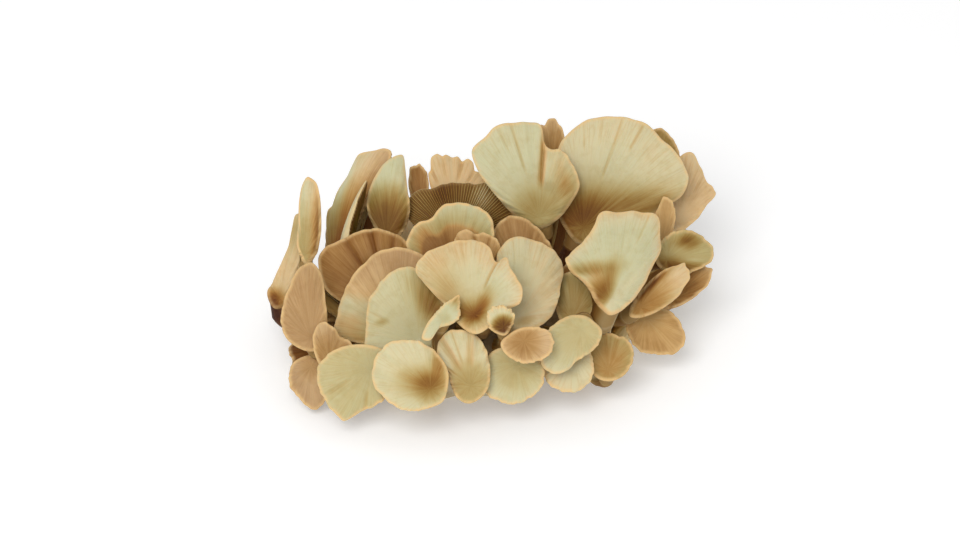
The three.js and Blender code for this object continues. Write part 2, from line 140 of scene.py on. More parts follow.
pad = {  # the tissue that the stems rise from
    "halfLength": 57, "halfWidth": 25, "height": 24, "flutes": 9, "fluteDepth": 0.07, "seed": 5,
    "around": 210, "rings": 42, "domeShare": 0.985, "lumps": 0.9, "humpHeight": 1.6, "humpWidth": 4.5,
    "brown": 0.8, "brownFrom": (3, 18),  # painted shade: browner up the dome, under the caps
    # its side and cut face: shares of the outline, heights and how much each shows as cut
    "side": ((1.0, 4.0, 0), (1.003, 2.6, 0), (0.998, 0.8, 0.3), (0.985, 0.12, 0.8), (0.97, 0, 1), (0.6, 0, 1),
             (0.25, 0, 1)),
    "patches": (screen(228, 216, 184), screen(186, 160, 112)), "felt": screen(242, 234, 212),
    "aged": screen(128, 96, 54), "cutFace": screen(222, 204, 162), "roughness": 0.85,
}
heart = {"middle": (0, -2, 8), "halfSize": (90, 46, 62), "from": 0.3, "to": 0.85}  # the inside of the cluster, where painted shade browns the flesh


def padFlute(angle):
    return (1 + pad["fluteDepth"] * np.sin(pad["flutes"] * angle + tau * draw(pad["seed"], 1))
            + 0.5 * pad["fluteDepth"] * np.sin((pad["flutes"] + 4) * angle + tau * draw(pad["seed"], 2)))


def padTop(x, y):  # height of the pad over its cut face
    share = np.hypot(x / pad["halfLength"], y / pad["halfWidth"]) / padFlute(np.arctan2(y, x))
    return pad["height"] * np.maximum(1 - share * share, 0) ** 0.4


def depthIn(points):  # 1 in the heart of the cluster, 0 at its outside: how much painted shade a point gets
    out = np.linalg.norm((points - np.array(heart["middle"])) / np.array(heart["halfSize"]), axis=-1)
    return 1 - smooth(out, heart["from"], heart["to"])


usual = {
    "left": 12, "right": 12,  # half widths of the fan
    "widest": 0.5, "blunt": 2.2, "taper": 1.7,  # its outline
    "face": (-0.23, -0.75, 0.62),  # the way that its smooth side looks
    "turn": 0, "waves": 4, "tint": "cream",
    "ruffle": 0.012,  # height of the small frills at the edge, as a share of the reach
    "scallops": 0.25,  # how far the edge runs in and out, in mm
    "creases": (),  # each: degrees from the middle line, distances it starts and ends at, depth, width
    "folds": (),  # each: the same degrees and distances, height of its right side
    "hollows": (),  # each: how far along, how far across, its two radii, degrees turned, depth, tone, browning (painted shade in the hollow, a painted highlight below 0)
    "notches": (),  # each: degrees from the middle line, depth as a share (below 0 it is a lobe), width in degrees
    "tone": (0.2, 0.3),  # near the stem and near the edge: 0 green cream, 0.35 cream, 0.65 peach, 1 pinkish tan
    "zone": (0.35, 0.95),  # where the inner tone gives way to the outer one, as shares of the way out
    "tilt": 0,  # how far the tone falls from the middle line to the left edge, and rises to the right one
    "brown": (0.3, 0.4),  # painted shade round the stem's top, where the cap funnels down: how much, and how far out as a share of the reach
    "underBrown": 0.0, "stemBrown": 0.55,  # painted shade on the gills, and on the side of the stem below the cap's back
    "rimGold": 1.0,
}
mushrooms = {}


def mushroom(node, stemTop, tip, root, **own):
    # Where the stem's top, the cap's tip and the root are, then what differs from the usual. edge is the cap's own
    # edge, as distances along and across from the stem's top.
    mushrooms[node] = {**usual, "stemTop": stemTop, "tip": tip, "root": root, **own}


mushroom("top_centre_fan", (29, 15, 53), (26, 44, 80), (20, 10), tone=(0.1, 0.12), brown=(0.22, 0.4), stemBrown=1.6,
    edge=((-4, 2), (-3, -6), (2, -14), (7, -19), (16, -19), (23, -16), (26, -11), (36, -11), (39, -4), (40, 5),
    (37, 12), (33, 18), (24, 18), (13, 14), (2, 8)), creases=((0, 17, 40, 0.8, 0.5), (8, 27, 40, 0.4, 0.4),
    (15, 29, 38, 0.2, 0.4), (-9, 30, 40, 0.2, 0.4)), folds=((-21, 10, 33, 1.8),),
    hollows=((7, -14, 7, 5, 0, 0.5, 0.3, 0.4), (18, -14, 10, 5, -20, 0, 0.3, 0.08), (5, 1, 9, 8, 0, 0, 0.1, 0.25)))
mushroom("top_right_fan", (47, 13, 45), (74, 39, 75), (33, 8), funnel=8, tone=(0.2, 0.35), zone=(0.5, 0.9), tilt=-0.05,
    brown=(0.5, 0.35), stemBrown=1.5, edge=((-6, -1), (0, -12), (11, -21), (21, -28), (28, -32), (35, -31), (41, -24),
    (45, -16), (48, -9), (48, -1), (46, 6), (43, 12), (37, 18), (29, 21), (21, 21), (13, 19), (5, 15), (-2, 7)),
    creases=((2, 19, 48, 1, 0.5), (-8, 35, 48, 0.6, 0.4), (-24, 35, 47, 0.3, 0.5), (12, 33, 46, 0.2, 0.4),
    (-15, 38, 48, 0.25, 0.4), (22, 30, 42, 0.2, 0.4)), hollows=((4, 6, 13, 9, -30, 1.3, 0.15, 0.5),
    (14, -13, 20, 7, -65, 0.8, 0.2, 0.7), (8, 20, 6, 4, 60, 0.4, 0.2, 0.4)))
mushroom("top_small_fan", (41, 35, 56), (46, 54, 70), (26, 18), left=6, right=6, tint="tan", tone=(0.7, 0.8),
    brown=(0.4, 1.2))
mushroom("right_front_fan", (42, -38, 48), (65, -14, 62), (43, -11), funnel=3, neck=5, tone=(0.05, 0.5), zone=(0.75, 1),
    brown=(0.1, 0.3), stemBrown=0, edge=((-5, -2), (0, -6), (6, -8), (14, -9), (22, -9), (29, -9), (35, -6), (41, -2),
    (39, 5), (35, 13), (31, 19), (25, 19), (18, 20), (12, 22), (7, 23), (4, 20), (2, 14), (0, 9), (-3, 4)),
    creases=((-14, 22, 40, 0.4, 0.4), (2, 24, 40, 0.4, 0.5), (14, 20, 36, 0.3, 0.4), (-8, 30, 40, 0.3, 0.4)),
    hollows=((7.5, 13, 11, 2.6, -57, 1.2, 0.2, 0.5), (7, 4, 8, 2.6, 8, 0.9, 0.3, 0.5), (5, 10, 6, 4, -30, -0.8, 0.4, 0),
    (0, 6, 6, 4.5, 0, 0.7, 0.3, 0.7), (10, -4, 17, 2.6, -16, -1.6, 0.15, -0.5)))
mushroom("front_centre_fan", (-12.5, -30.5, 48.5), (-22, -3, 60.5), (-8, -8), tint="tan", tone=(0.22, 0.46),
    zone=(0.4, 0.9), tilt=0.1, brown=(0.25, 0.3), edge=((-7, 4), (-8, -2), (-7, -7), (-7, -12), (-8, -17), (-4, -21),
    (4, -22), (11, -23), (12, -19), (19, -20), (25, -16), (28, -12), (30, -6), (31, 1), (30, 6), (28, 9), (23, 9),
    (15, 8), (9, 7), (0, 7)), creases=((-59, 9, 26, 0.9, 0.5), (-25, 22, 34, 0.3, 0.4), (6, 22, 33, 0.2, 0.4),
    (-42, 20, 28, 0.25, 0.4)), hollows=((13, 3, 8, 5, 0, 0.7, 0.2, 0.2), (2, 2, 7, 3, 40, 1, 0.2, 0.6),
    (2, -6, 5, 2, -70, 0.5, 0.2, 0.4), (-1, -2, 2, 7, 10, 0.6, 0.3, 0.4), (2, -15, 8, 6, 0, 0, -0.3, 0),
    (20, 2, 16, 16, 0, 0, 0, 0.07)))
mushroom("front_right_fan", (7.5, -26.5, 39), (21.5, -1.5, 54.5), (8, -12), tone=(0.35, 0.42), zone=(0.4, 0.9),
    brown=(0, 0.4), edge=((-6, 0), (-3, -7), (2, -12), (9, -14), (15, -14), (21, -14), (27, -12), (31, -7), (33, -1),
    (33, 6), (30, 10), (25, 13), (16, 12), (5, 9), (-3, 5)), creases=((-50, 16, 30, 0.3, 0.4), (-28, 18, 33, 0.3, 0.4),
    (-8, 20, 33, 0.25, 0.4), (15, 20, 32, 0.25, 0.4)), hollows=((8, -6, 11, 9, -40, 0, 0.1, -0.15),
    (-1, -3, 5, 2, -60, 0.8, 0.1, 0.25), (20, 6, 12, 7, 0, 0, -0.25, 0), (8, 7, 10, 4, 0, 0, 0.1, 0)))
mushroom("front_left_fan", (-32, -21, 32), (-41, 3, 48), (-22, -12), tone=(0.1, 0.15), brown=(0, 0.4), edge=((-5, 1),
    (-5, -5), (-1, -12), (8, -16), (16, -17), (24, -14), (28, -10), (29, -4), (27, 3), (23, 10), (16, 15), (9, 19),
    (2, 15), (-2, 7)), creases=((28, 14, 30, 0.2, 0.4), (-20, 18, 30, 0.2, 0.4)),
    hollows=((6, -12, 14, 5, 0, 0.4, 0.3, 0.85), (14, 9, 2.4, 1.2, 70, 0.1, 0, 0.3)))
mushroom("front_low_fold", (-24.5, -31, 49), (-18.5, -26.5, 55), (-18, -17), tone=(0, 0), brown=(0.08, 0.4),
    edge=((-10, 1), (-4, 0), (-1, -3), (3, -5), (7, -3), (11, -1), (8, 1), (4, 3), (0, 4), (-5, 5), (-11, 4)),
    hollows=((9, -1, 3, 3, 0, 0.2, 0.3, 0.4),))
mushroom("front_frill", (-3.5, -42, 48), (-3.5, -37.5, 55.5), (2, -15), waves=6, ruffle=0.07, scallops=0.4,
    tone=(0.3, 0.3), brown=(1.6, 0.75), edge=((-3, 0), (0, -3), (4, -5), (7, -3), (9, 0), (8, 4), (4, 6), (0, 5)))
mushroom("left_shingle", (-36, -11, 26), (-58, 7, 34), (-32, -8), tint="tan", tone=(0.3, 0.7), zone=(0.4, 0.8),
    tilt=0.3, brown=(0.1, 2), stemBrown=0.8, edge=((-3, 2), (-6, -5), (-5, -15), (-2, -25), (5, -32), (12, -33),
    (19, -31), (25, -25), (28, -16), (29, -7), (28, 2), (25, 10), (18, 10), (8, 7)),
    hollows=((27, -2, 12, 5, 10, 0, -0.45, -0.1), (15, 6, 10, 5, 0, 0, 0, 0.12)))
mushroom("left_shingle_behind", (-36, 4, 29), (-57, 27, 43), (-28, 2), tint="tan", tone=(0.9, 0.9), brown=(0.45, 3),
    stemBrown=0.8, edge=((-4, 1), (-3, -7), (0, -17), (8, -24), (16, -25), (24, -22), (30, -16), (34, -8), (37, -3),
    (36, 2), (31, 7), (25, 10), (19, 10), (8, 7)), folds=((-38, 17, 34, 2), (-55, 15, 30, 2), (-20, 19, 34, 1.2)))
mushroom("left_end_fan", (-72, -5, 30), (-65, 15, 53), (-46, -2), tint="pink", tone=(0.95, 0.95), brown=(0.1, 2),
    edge=((-5, 0), (-2, -5), (7, -6), (17, -5), (26, -3), (30, 1), (28, 5), (23, 8), (15, 11), (6, 12), (-1, 9)))
mushroom("left_low_bud", (-67.5, -15.5, 25), (-65, -3.5, 35.5), (-52, -6), tint="pink", tone=(0.8, 0.85),
    brown=(0.3, 1), edge=((-4, 0), (-1, -5), (2, -9), (7, -9), (10, -5), (14, -2), (16, 2), (13, 5), (8, 6), (2, 5),
    (-2, 3)))
mushroom("left_tall_fold", (-66, 26, 47), (-57, 51, 68), (-40, 12), neck=3, tone=(0.25, 0.3), tilt=0.3,
    brown=(0.3, 0.8), rimGold=1.6, edge=((-3, -1), (0, -4), (8, -6), (17, -6), (25, -5), (30, -3), (32, 0), (29, 2),
    (23, 3), (14, 3), (4, 3)), hollows=((10, -6, 20, 3, 0, 0, 0.5, 0.35),))
mushroom("left_outer_slab", (-77.5, 23.5, 30), (-63, 46, 51.5), (-46, 8), tone=(0.55, 0.6), brown=(0, 0.4),
    stemBrown=1.2, underBrown=0.6, rimGold=0.5, edge=((-4, 1), (-2, -3), (6, -5), (13, -6), (21, -6), (29, -5),
    (33, -3), (35, -1), (34, 1), (27, 1), (21, 1), (16, 2), (11, 3), (6, 4), (1, 5)),
    hollows=((-2, 2, 4, 4, 0, 0, 0.2, 1.4), (28, 0, 9, 5, 0, 0, -0.2, 0.25)))
mushroom("left_upper_plate", (-52, 38, 31), (-25, 64, 60), (-34, 16), turn=45, tint="tan", tone=(0.55, 0.6),
    zone=(0.55, 0.95), tilt=0.4, brown=(0.85, 0.9), stemBrown=1.2, edge=((-4, 0), (8, -3), (19, -6), (31, -9),
    (42, -12), (50, -10), (49, -1), (46, 7), (37, 9), (28, 11), (18, 13), (4, 8)),
    hollows=((20, -4, 16, 4, -15, 0.4, 0.2, 0.4), (24, 8, 16, 4, 0, 0, -0.5, -0.3)))
mushroom("left_blade", (-54, 28, 37), (-34, 44, 61), (-38, 6), left=6, right=6, turn=80, tone=(0.35, 0.3),
    brown=(0.05, 0.4), underBrown=1.3, rimGold=0.6)
mushroom("upper_left_plate", (-31, 29, 47), (-19, 54, 66), (-20, 14), tone=(0.3, 0), tilt=0.3, brown=(1.15, 0.75),
    stemBrown=1.2, edge=((-4, -1), (2, -6), (11, -8), (20, -6), (28, -4), (34, -2), (32, 2), (27, 6), (19, 9), (10, 9),
    (3, 5)))
mushroom("upper_peach_fan", (-1, 37, 46), (4, 56, 61), (0, 18), scallops=0.4, tint="tan", tone=(0.55, 0.6),
    brown=(0.05, 0.4), edge=((-4, 0), (0, -7), (6, -12), (16, -11), (22, -8), (24, -4), (23, 0), (25, 4), (22, 8),
    (17, 9), (9, 8), (2, 5)), notches=((24, 0.09, 4), (8, 0.06, 3), (-13, 0.09, 4), (-30, 0.07, 4), (-47, -0.14, 10)),
    creases=((24, 12, 26, 0.5, 0.6), (8, 14, 26, 0.4, 0.5), (-13, 12, 26, 0.5, 0.6), (-30, 12, 24, 0.4, 0.6)))
mushroom("upper_gilled_fan", (-3, 24, 41), (6, 39, 58), (2, 12), left=23, right=23, widest=0.4, blunt=1.7, taper=1.4,
    face=(0.23, 0.75, -0.62), tint="brown", tone=(0.4, 0.3), underBrown=0.5, rimGold=0.25, notches=((19, -0.13, 11),),
    hollows=((20, 7, 8, 5, 0, 0, -0.2, -0.55), (20, -9, 7, 4, 0, 0, 0, 0.4), (14, -19, 7, 6, 0, 0, 0, -0.15)))
mushroom("upper_brown_bud", (-13, 41.5, 48.5), (-10, 56, 58.5), (-15, 20), left=4, right=4, tint="brown",
    tone=(0.95, 0.95), brown=(0.42, 3))
mushroom("middle_half_moon", (-10, 3, 43), (-6, 24, 60), (-8, 6), tone=(0.85, 0.08), zone=(0.6, 0.76),
    brown=(0.65, 1.1), stemBrown=1, rimGold=1.6, edge=((-4, 0), (-1, -8), (8, -15), (16, -17), (23, -15), (26, -11),
    (28, -5), (28, 1), (25, 5), (22, 8), (21, 13), (17, 17), (11, 18), (5, 14), (-1, 7)),
    hollows=((13, 10, 8, 5, 30, 0, 0.7, 0.1),))
mushroom("middle_right_fan", (16, -5, 38), (14, 18, 54), (12, 0), tint="pink", tone=(0.9, 0.9), brown=(0.27, 2),
    stemBrown=1, edge=((-4, 0), (-2, -7), (4, -14), (11, -15), (18, -13), (24, -9), (27, -2), (25, 3), (18, 7), (8, 7),
    (1, 4)), creases=((-30, 14, 28, 0.3, 0.4), (-8, 16, 28, 0.3, 0.4), (8, 16, 28, 0.2, 0.4)))
mushroom("middle_crinkle", (-3.5, -10, 45.5), (0, 6.5, 59), (-0.5, -4), waves=9, wave=1.2, ruffle=0.03, tint="tan",
    tone=(0.75, 0.8), brown=(0.3, 1.5), edge=((-4, -1), (1, -5), (8, -7), (14, -9), (18, -7), (20, -4), (21, 1),
    (22, 4), (21, 7), (17, 9), (10, 8), (0, 4)), creases=((22, 8, 22, 0.8, 0.7), (2, 8, 22, 0.9, 0.7),
    (-16, 8, 20, 0.8, 0.7)))
# Painted shade: this cap is browned all over to stand for the deep shade among the stems.
mushroom("middle_dark_fan", (41, -8, 28), (43, 6, 37), (26, -2), left=8, right=8, tint="brown", tone=(1, 0.9),
    brown=(0.75, 3), stemBrown=1)
mushroom("right_upper_fan", (86, 10, 40), (98, 33, 58), (46, 8), tint="tan", tone=(0.6, 0.6), brown=(0, 0.4),
    edge=((-3, 2), (-1, -3), (4, -8), (10, -11), (15, -14), (20, -10), (26, -6), (31, -2), (30, 1), (25, 5), (17, 7),
    (7, 8)), creases=((-20, 14, 30, 0.3, 0.5), (0, 16, 30, 0.3, 0.5), (16, 12, 26, 0.3, 0.5)))
mushroom("right_rear_fan", (82, 29, 51), (91, 43, 64), (44, 15), tone=(0.35, 0.35), brown=(0.6, 3), edge=((-3, -2),
    (1, -7), (7, -10), (13, -8), (17, -5), (20, -1), (20, 3), (17, 6), (10, 6), (2, 4)))
mushroom("right_rolled_fan", (73.5, -14.5, 43.5), (92, -16, 41.5), (50, -5), tint="brown", tone=(0.1, 0.05),
    brown=(0.25, 3), edge=((-4, -1), (0, -5), (7, -6), (14, -4), (19, -1), (19, 4), (14, 9), (10, 11), (4, 11), (-1, 8),
    (-4, 4)), hollows=((2, -3, 12, 3, -5, 0.8, 0.2, 0.9), (9, 7, 4, 2.5, 0, 0.6, 0.3, 1),
    (9, -1, 6, 1.5, 0, -0.5, -0.1, -0.3)))
mushroom("right_curled_blade", (75.5, -3.5, 45), (80.5, 6.5, 57), (42, 5), left=4, right=4, tone=(0.65, 0.7),
    brown=(0.2, 2))
mushroom("right_end_wedge", (56.5, -31.5, 36), (78, -22.5, 44.5), (44, -3), left=5, right=7, tint="tan",
    tone=(0.6, 0.5), brown=(0.5, 0.8), hollows=((10, 4, 10, 1.6, 0, 0.6, 0.3, 1),))
mushroom("right_low_fan", (73, -22, 29), (91, -14, 35.6), (56, -4), left=8, right=6, tint="tan", tone=(0.8, 0.85),
    brown=(0.65, 1.2), hollows=((8, 5, 9, 3, 0, 0.5, 0.2, 0.5),))
mushroom("right_low_shade", (61.5, -25, 24.5), (68, -36.5, 13), (52, -13), tint="tan", tone=(0.6, 0.7), brown=(0.25, 2),
    edge=((-3, 3), (-5, -3), (-2, -8), (4, -10), (10, -9), (15, -4), (18, 1), (17, 7), (12, 10), (5, 10), (0, 7)))
mushroom("right_low_end", (71, 6, 14.5), (95, 14, 16.5), (56, 3), right=13, face=(0.3, -0.3, 1), tint="brown",
    tone=(0.8, 0.8), brown=(0.45, 2))
mushroom("lower_left_pink", (-72.5, -6, 16.5), (-74.5, -18, 4.5), (-32, -15), tint="pink", tone=(0.85, 0.95),
    brown=(0.15, 0.4), edge=((-4, 2), (-4, -3), (-2, -7), (2, -9), (7, -9), (12, -6), (16, -3), (17, 1), (14, 4),
    (9, 6), (2, 6)))
mushroom("lower_left_fan", (-54, -28.5, 29.5), (-67.5, -34, 11), (-38, -18), tone=(0.15, 0.2), brown=(0.15, 2),
    edge=((-8, 3), (-7, -5), (-2, -13), (4, -17), (11, -18), (16, -15), (20, -10), (23, -4), (24, 1), (18, 5), (12, 9),
    (6, 11), (-1, 10), (-5, 7)), creases=((20, 8, 22, 0.5, 0.8), (-30, 8, 20, 0.4, 0.8)))
mushroom("lower_front_fan", (-35, -46.5, 28), (-52, -35.5, 32), (-30, -20), tone=(0.2, 0.25), edge=((-6, 3), (-6, -3),
    (-4, -9), (2, -14), (9, -16), (15, -15), (21, -12), (24, -6), (24, 0), (21, 6), (16, 9), (10, 11), (3, 10),
    (-2, 7)), hollows=((3, -2, 9, 5, 20, 1, 0.2, 0.55), (0, -11, 3, 6, 10, 0.6, 0.2, 0.5)))
mushroom("lower_front_crinkle", (-18.5, -46, 25), (-20.5, -30.5, 41.5), (-8, -20), waves=7, ruffle=0.03,
    tone=(0.3, 0.3), brown=(0.35, 0.6), edge=((-6, -1), (-3, -6), (3, -9), (10, -10), (16, -9), (21, -5), (23, 0),
    (22, 5), (18, 8), (13, 9), (8, 7), (2, 7), (-3, 6), (-6, 3)), creases=((35, 6, 18, 0.6, 0.5), (2, 8, 24, 0.5, 0.5)),
    folds=((14, 6, 23, 0.35), (-18, 6, 22, 0.35)))
mushroom("lower_middle_fan", (2, -42.5, 28.5), (-2, -49.5, 15), (2, -23), tone=(0.15, 0.15), brown=(0.2, 1),
    edge=((-5, 0), (-6, -6), (-3, -11), (3, -13), (8, -14), (13, -11), (15, -6), (16, 0), (14, 5), (10, 9), (5, 11),
    (-1, 10), (-4, 6)))
mushroom("lower_middle_tan", (3.5, -46, 42.5), (12, -52, 40), (8, -20), tint="brown", tone=(0.8, 0.75),
    brown=(0.3, 0.9), edge=((-6, 1), (-8, -4), (-5, -7), (2, -8), (8, -5), (11, -1), (11, 4), (8, 7), (3, 7), (-2, 5)))
mushroom("lower_right_fan", (27.5, -44.5, 42), (13, -50.5, 27.5), (14, -20), tone=(0.15, 0.15), brown=(0.15, 1),
    edge=((-5, -1), (-2, -6), (3, -9), (8, -10), (14, -9), (19, -6), (21, -2), (20, 2), (16, 5), (11, 6), (6, 8),
    (1, 9), (-4, 7), (-5, 3)))
mushroom("lower_right_yellow", (25, -42.5, 28.5), (20, -51, 17), (24, -21), tone=(0.35, 0.38), brown=(0.2, 0.4),
    edge=((-5, 1), (-2, -5), (3, -9), (9, -10), (13, -8), (15, -3), (15, 3), (12, 7), (7, 9), (1, 8), (-3, 5)))
mushroom("lower_right_shade", (38.5, -47, 20), (41.5, -36, 29.5), (29.5, -21.5), tint="brown", tone=(0.5, 0.3),
    brown=(0.4, 2), edge=((-4, -1), (-2, -6), (2, -9), (7, -10), (12, -8), (14, -3), (15, 3), (12, 7), (7, 9), (2, 8),
    (-3, 4)))
mushroom("lower_right_olive", (30, -26, 32), (35, -11.5, 42), (21, -14), tint="brown", tone=(0.3, 0.1), brown=(0.4, 2),
    edge=((-5, 0), (-3, -4), (3, -8), (9, -9), (16, -6), (19, -1), (19, 3), (14, 6), (8, 7), (0, 5)))
mushroom("left_low_end", (-60, 10.5, 8.5), (-76, 14.5, 6.5), (-50, -1.5), left=11, right=11, face=(-0.2, -0.1, 1),
    tint="tan", tone=(1, 1), brown=(0.9, 3))
mushroom("back_left_low", (-54, 28, 15), (-70, 42, 18), (-49, 13), left=13, right=13, face=(-0.1, 0.1, 1),
    brown=(0.9, 3), stemBrown=1.2, underBrown=0.6)
# Painted shade: a cap browned all over to fill the deep gap behind the plates in front.
mushroom("left_rear_shade", (-36.5, 40, 23), (-34.5, 61, 39.5), (-27, 20), left=11, right=10, tint="brown",
    tone=(1, 0.9), brown=(0.9, 3), underBrown=0.5)
mushroom("back_middle_low", (-12, 40, 22), (-14, 60, 28), (-8, 24), left=14, right=13, face=(0, 0.1, 1), tint="tan",
    tone=(0.45, 0.6))
# Painted shade: a cap browned all over to fill the deep gap between the stems behind.
mushroom("centre_rear_shade", (39.5, 24.5, 16), (44.5, 45, 31.5), (31, 12), left=9, right=8, tint="brown",
    tone=(1, 0.9), brown=(0.9, 3), underBrown=0.5)
mushroom("back_right_low", (20, 40, 26), (24, 60, 33), (14, 24), left=13, right=13, face=(0, 0.1, 1))
mushroom("back_right_end", (56.5, 33.5, 25), (68.5, 51.5, 31), (39, 22), face=(0.1, 0.1, 1), tint="pink",
    tone=(0.7, 0.8))

growth = {  # what all mushrooms share, in mm, degrees and shares
    # sizes and counts that grow with the reach or, for the stem's rings, with its length
    "core": (2.2, 0.06), "neck": (2.2, 0.06), "gillDepth": (0.7, 0.02), "funnel": (0, 0.1), "curl": (0, 0.06),
    "wave": (0, 0.035), "topRings": (11, 0.4), "underRings": (9, 0.2), "stemRings": (10, 0.25),
    "back": 5,  # how far a fan without an edge of its own runs behind the stem
    "unevenness": ((3, 0.030), (7, 0.022), (13, 0.012)),  # counts and sizes of the waves round such a fan
    "fineness": 1440, "turnWeight": 0.15,  # steps that an edge is first walked in, and how much a turn counts
    "edgeThickness": 0.7, "lip": 0.25, "lipDrop": 0.45,
    "rimTop": (0.15, 1.5), "rimBelow": (0.05, 0.6),  # distances from the edge over which its gold fades
    # how many times these go up and down round a cap
    "scallopWaves": (11, 5, 23), "fineScallop": (41, 0.3), "frillWaves": (19, 8, 31), "pleatWaves": (27, 11, 43),
    "pleatHeight": 0.005,  # of the faint folds that run out to the edge, as a share of the reach
    "funnelWidth": 0.45, "frontTop": 115, "frontUnder": 110,  # waves and gills die out at these angles from the tip
    "backToFront": (-0.5, 0.3),  # cosines between which a cap's or a stem's back turns into its front
    "shade": 0.25, "shadeUnder": 0.8, "shadeStem": 0.9,  # painted shade: browner in the heart of the cluster, where less light reaches
    "gillSpacing": 1.15, "fewestGills": 24, "mostGills": 100, "gillJitter": 0.3, "gillLength": (0.35, 0.4),
    "ribRings": 6, "ribs": 0.3,  # gills run on down this share of the stem
    "topCrowd": 1.6, "underCrowd": 1.15, "coarseWithin": 0.45,  # how the rings crowd, and where columns are left out
    "stemLean": 50, "stemBend": (0.4, 0.3), "stemTaper": 0.8, "stemFlare": 0.45, "flareHeight": (-1, 5),
    "rootDepth": 5, "rootLowest": 5, "rootSplay": (45, 28),  # a root this far from the middle leans by 45 degrees
}
crease = {"bank": 0.25, "bankWidth": 3, "litSide": 1.5, "tone": 0.25, "brown": 0.22}  # flesh swells beside it; painted shade in it, a painted highlight on its lit side
fold = {"step": 0.4, "rise": 8, "dip": 0.5, "dipWidth": 3}  # a step, with a dip at its foot
gillPhase = np.array([0, 0.36, 0.5, 0.64])  # places of the points across one gill, its crest at 0.5
gillProfile = np.array([0, 0.16, 1, 0.16])


def throughPoints(points):
    # A closed centripetal Catmull-Rom curve: each knot step is the square root of the distance between two points.
    p = [np.roll(points, shift, axis=0) for shift in (1, 0, -1, -2)]
    knots = [np.sqrt(np.linalg.norm(p[i + 1] - p[i], axis=1))[:, None] for i in range(3)]
    slope = [(p[i + 1] - p[i]) / knots[i] for i in range(3)]
    leave = knots[1] * (slope[0] - (p[2] - p[0]) / (knots[0] + knots[1]) + slope[1])
    arrive = knots[1] * (slope[1] - (p[3] - p[1]) / (knots[1] + knots[2]) + slope[2])
    at = np.arange(growth["fineness"] + 1) * len(points) / growth["fineness"]
    k = np.floor(at).astype(int) % len(points)
    t = (at - np.floor(at))[:, None]
    square = -3 * p[1] + 3 * p[2] - 2 * leave - arrive
    cube = 2 * p[1] - 2 * p[2] + leave + arrive
    curve = p[1][k] + t * (leave[k] + t * (square[k] + t * cube[k]))
    return curve[:, 0], curve[:, 1]


def ripples(angle, seed, counts, first, last=None):
    # Two sines that beat against each other and a finer one, round the cap. first numbers the first of their draws;
    # last is the finer one's phase, where it isn't drawn.
    phases = [tau * draw(seed, first + i) for i in range(3)]
    return (np.sin(counts[0] * angle + phases[0]) * np.sin(counts[1] * angle + phases[1])
            + 0.5 * np.sin(counts[2] * angle + (phases[2] if last is None else last)))


def fanEdge(cap, where):
    # The fan's edge seen square to its face: through its own points or, without them, two half superellipses that
    # meet where it is widest, made uneven by three sine waves. Then small scallops and notches.
    # where is the share of the way round, from behind the stem. The last value given is the edge's length.
    reach = cap["reach"]
    if "edge" in cap:
        x, y = throughPoints(np.array(cap["edge"], float))
    else:
        t = tau * (np.arange(growth["fineness"] + 1) / growth["fineness"] - 0.5)
        c, s = np.cos(t), np.sin(t)
        middle = cap["widest"] * reach
        power = 2 / np.where(c >= 0, cap["blunt"], cap["taper"])
        half = np.where(c >= 0, reach - middle, middle + growth["back"])
        x = middle + np.sign(c) * half * np.abs(c) ** power
        y = np.where(s >= 0, cap["left"], cap["right"]) * np.sign(s) * np.abs(s) ** power
        uneven = sum(size * np.sin(count * t + tau * draw(cap["seed"], i + 1))
                     for i, (count, size) in enumerate(growth["unevenness"]))
        scale = 1 + (0.5 + 0.5 * c) * uneven
        x, y = x * scale, y * scale
    stepped = np.hypot(np.diff(x), np.diff(y))
    swept = np.abs(np.arctan2(x[:-1] * y[1:] - y[:-1] * x[1:], x[:-1] * x[1:] + y[:-1] * y[1:]))
    walked = np.concatenate(([0], np.cumsum(stepped + growth["turnWeight"] * reach * swept)))
    at = where * walked[-1]
    x, y = np.interp(at, walked, x), np.interp(at, walked, y)
    angle, radius = np.arctan2(y, x), np.hypot(x, y)
    fineCount, fineSize = growth["fineScallop"]
    scallop = ripples(angle, cap["seed"], growth["scallopWaves"], 11) + fineSize * np.sin(fineCount * angle)
    front = smooth(np.cos(angle), *growth["backToFront"]) * smooth(radius, 0.2 * reach, 0.6 * reach)
    scale = 1 + cap["scallops"] * front * scallop / radius
    for degrees, depth, width in cap["notches"]:
        scale = scale * (1 - depth * hill(angle - math.radians(degrees), math.radians(width)))
    return x * scale, y * scale, angle, stepped.sum()


def along(angle, out, degrees, begins, ends):
    # How far each point is to the left of a line from the stem, and 1 along the line's own stretch, eased at its ends.
    turned = angle - math.radians(degrees)
    ease = 0.25 * (ends - begins)
    on = smooth(out, begins, begins + ease) * (1 - 0.85 * smooth(out, ends - 0.5 * ease, ends + 0.5 * ease))
    return out * np.sin(turned), (np.cos(turned) > 0) * on


def inHollow(x, y, hollow):  # a soft oval, 1 at its middle
    atX, atY, longWay, crossWay, degrees = hollow[:5]
    c, s = math.cos(math.radians(degrees)), math.sin(math.radians(degrees))
    dx, dy = x - atX, y - atY
    return hill(np.hypot((dx * c + dy * s) / longWay, (dy * c - dx * s) / crossWay), 1)


